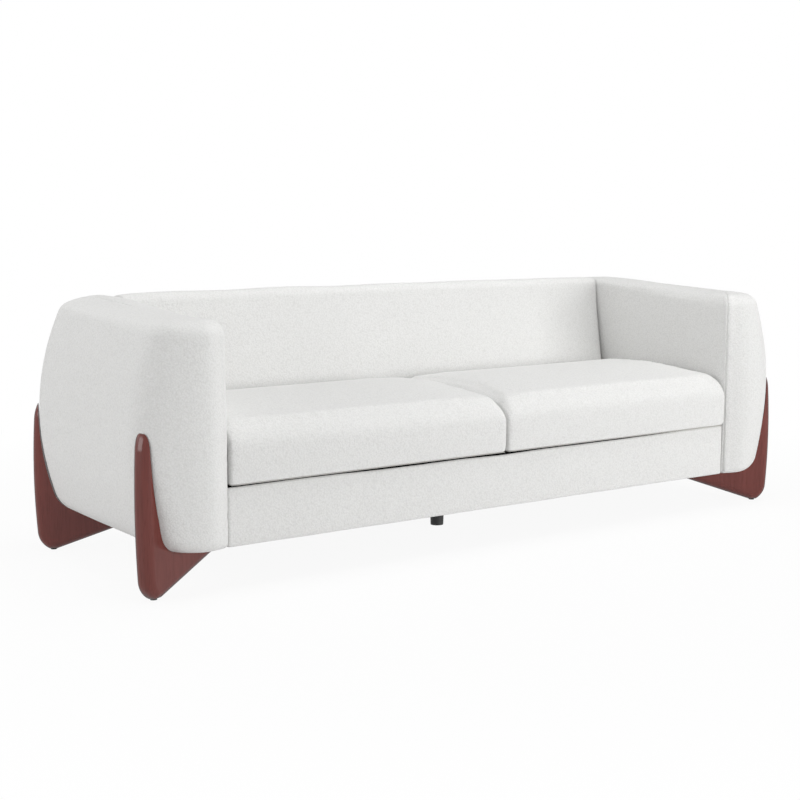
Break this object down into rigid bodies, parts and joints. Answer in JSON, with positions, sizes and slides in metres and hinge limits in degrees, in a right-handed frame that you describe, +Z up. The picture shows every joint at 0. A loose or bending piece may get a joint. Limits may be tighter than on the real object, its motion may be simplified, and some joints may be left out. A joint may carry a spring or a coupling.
{
  "type": "sofa with wooden legs",
  "caption": "Low upholstered sofa with wrap-around rounded arms and back, loose seat cushions and slanting wooden blade legs.",
  "frame": {"origin": "on the floor under the middle of the sofa", "axes": "+X along the width to the sitter's left, +Y from the seat towards the back, +Z up; the sofa faces -Y"},
  "size_m": [2.3128, 0.872, 0.733],
  "materials": {
    "boucle_fabric": "off-white nubby boucle",
    "lining_fabric": "plain woven",
    "black_cloth": "non-woven",
    "webbing": "woven",
    "felt": "needled",
    "foam": "open cell",
    "walnut": "satin stained",
    "black_plastic": "matt",
    "clip_plastic": "matt",
    "spring_steel": "drawn",
    "zinc_steel": "zinc plated",
    "board": "raw hardboard",
    "frame_timber": "raw sawn"
  },
  "bodies": {
    "root": {"arm_bolt_washers": "zinc_steel", "arm_bolts": "zinc_steel", "arm_corner_foam_left": "foam", "arm_corner_foam_right": "foam", "arm_cover_left": "boucle_fabric", "arm_cover_right": "boucle_fabric", "arm_inner_panel_left": "frame_timber", "arm_inner_panel_right": "frame_timber", "arm_nose_foam_left": "foam", "arm_nose_foam_right": "foam", "arm_nuts": "zinc_steel", "arm_outer_skin_left": "board", "arm_outer_skin_right": "board", "arm_padding_left": "foam", "arm_padding_right": "foam", "arm_ribs_left": "frame_timber", "arm_ribs_right": "frame_timber", "arm_sole_board_left": "frame_timber", "arm_sole_board_right": "frame_timber", "arm_top_rail_left": "frame_timber", "arm_top_rail_right": "frame_timber", "back_cover": "boucle_fabric", "back_padding": "foam", "back_ribs": "frame_timber", "back_sole_board": "frame_timber", "back_top_rail": "frame_timber", "back_webbing": "webbing", "centre_foot": "black_plastic", "centre_foot_screw": "zinc_steel", "corner_block_left": "frame_timber", "corner_block_right": "frame_timber", "cross_beam_centre": "frame_timber", "cross_beam_left": "frame_timber", "cross_beam_right": "frame_timber", "deck_cloth": "black_cloth", "deck_pad": "felt", "dust_cover": "black_cloth", "front_leg_left": "walnut", "front_leg_right": "walnut", "front_rail": "frame_timber", "front_rail_cover": "boucle_fabric", "front_rail_padding": "foam", "leg_bolts": "zinc_steel", "leg_glides": "black_plastic", "leg_inserts": "zinc_steel", "leg_washers": "zinc_steel", "rear_leg_left": "walnut", "rear_leg_right": "walnut", "rear_rail": "frame_timber", "side_rail_left": "frame_timber", "side_rail_right": "frame_timber", "sinuous_springs": "spring_steel", "spring_clips": "clip_plastic"},
    "seat_cushion_left": {"cushion_core_left": "foam", "cushion_cover_left": "boucle_fabric", "cushion_underside_left": "lining_fabric"},
    "seat_cushion_right": {"cushion_core_right": "foam", "cushion_cover_right": "boucle_fabric", "cushion_underside_right": "lining_fabric"}
  },
  "joints": [
    {"name": "lift_cushion_left", "type": "slide", "parent": "root", "child": "seat_cushion_left", "axis": [0, 0, 1], "range_m": [0, 0.45]},
    {"name": "lift_cushion_right", "type": "slide", "parent": "root", "child": "seat_cushion_right", "axis": [0, 0, 1], "range_m": [0, 0.45]}
  ]
}
